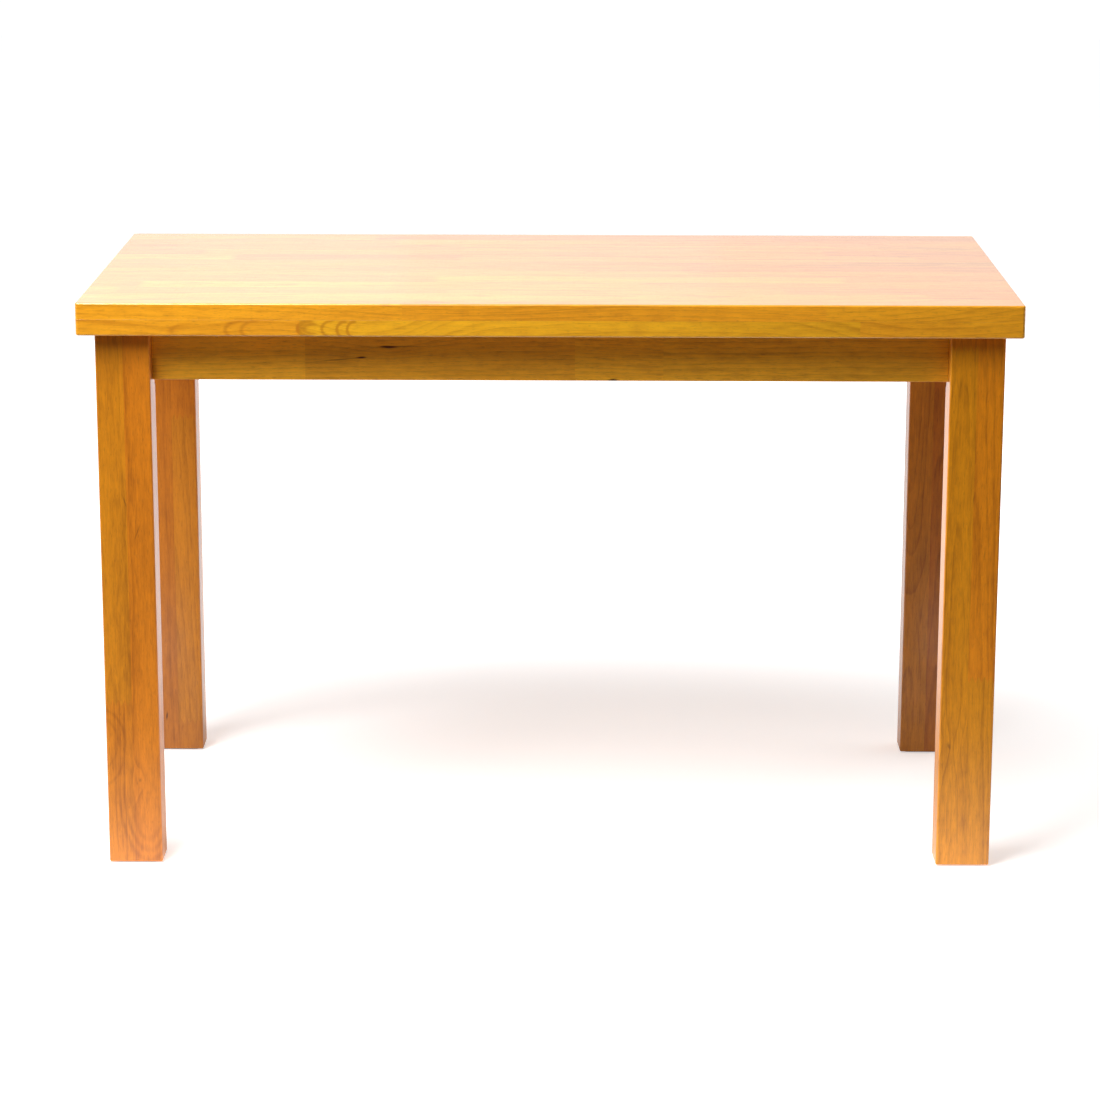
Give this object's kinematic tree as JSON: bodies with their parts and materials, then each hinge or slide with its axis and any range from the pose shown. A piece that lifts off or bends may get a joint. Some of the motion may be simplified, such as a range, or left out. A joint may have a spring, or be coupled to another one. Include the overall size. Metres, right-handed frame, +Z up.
{
  "type": "communion table",
  "caption": "Plain rectangular communion table with a doubled top edge, four straight legs and aprons, in honey-coloured laminated hardwood.",
  "frame": {"origin": "on the floor, under the middle of the table", "axes": "+X along the table's length to the right of someone who faces its front, +Y from front to rear, +Z up"},
  "size_m": [1.2, 0.6, 0.75],
  "materials": {
    "lacquered_top": "honey-coloured laminated hardwood under clear satin lacquer",
    "lacquered_frame": "honey-brown laminated hardwood under clear satin lacquer",
    "block_wood": "planed, unfinished",
    "zinc_steel": "bright zinc plate",
    "pad_felt": "pressed brown felt"
  },
  "bodies": {
    "root": {"apron_front": "lacquered_frame", "apron_left": "lacquered_frame", "apron_rear": "lacquered_frame", "apron_right": "lacquered_frame", "clip_screw_front_left": "zinc_steel", "clip_screw_front_right": "zinc_steel", "clip_screw_left": "zinc_steel", "clip_screw_rear_left": "zinc_steel", "clip_screw_rear_right": "zinc_steel", "clip_screw_right": "zinc_steel", "corner_block_front_left": "block_wood", "corner_block_front_right": "block_wood", "corner_block_rear_left": "block_wood", "corner_block_rear_right": "block_wood", "edge_strip_front": "lacquered_top", "edge_strip_left": "lacquered_top", "edge_strip_rear": "lacquered_top", "edge_strip_right": "lacquered_top", "glide_pad_front_left": "pad_felt", "glide_pad_front_right": "pad_felt", "glide_pad_rear_left": "pad_felt", "glide_pad_rear_right": "pad_felt", "hanger_bolt_front_left_lower": "zinc_steel", "hanger_bolt_front_left_upper": "zinc_steel", "hanger_bolt_front_right_lower": "zinc_steel", "hanger_bolt_front_right_upper": "zinc_steel", "hanger_bolt_rear_left_lower": "zinc_steel", "hanger_bolt_rear_left_upper": "zinc_steel", "hanger_bolt_rear_right_lower": "zinc_steel", "hanger_bolt_rear_right_upper": "zinc_steel", "leg_front_left": "lacquered_frame", "leg_front_right": "lacquered_frame", "leg_rear_left": "lacquered_frame", "leg_rear_right": "lacquered_frame", "nut_front_left_lower": "zinc_steel", "nut_front_left_upper": "zinc_steel", "nut_front_right_lower": "zinc_steel", "nut_front_right_upper": "zinc_steel", "nut_rear_left_lower": "zinc_steel", "nut_rear_left_upper": "zinc_steel", "nut_rear_right_lower": "zinc_steel", "nut_rear_right_upper": "zinc_steel", "top_clip_front_left": "zinc_steel", "top_clip_front_right": "zinc_steel", "top_clip_left": "zinc_steel", "top_clip_rear_left": "zinc_steel", "top_clip_rear_right": "zinc_steel", "top_clip_right": "zinc_steel", "top_panel": "lacquered_top", "washer_front_left_lower": "zinc_steel", "washer_front_left_upper": "zinc_steel", "washer_front_right_lower": "zinc_steel", "washer_front_right_upper": "zinc_steel", "washer_rear_left_lower": "zinc_steel", "washer_rear_left_upper": "zinc_steel", "washer_rear_right_lower": "zinc_steel", "washer_rear_right_upper": "zinc_steel"}
  },
  "joints": []
}
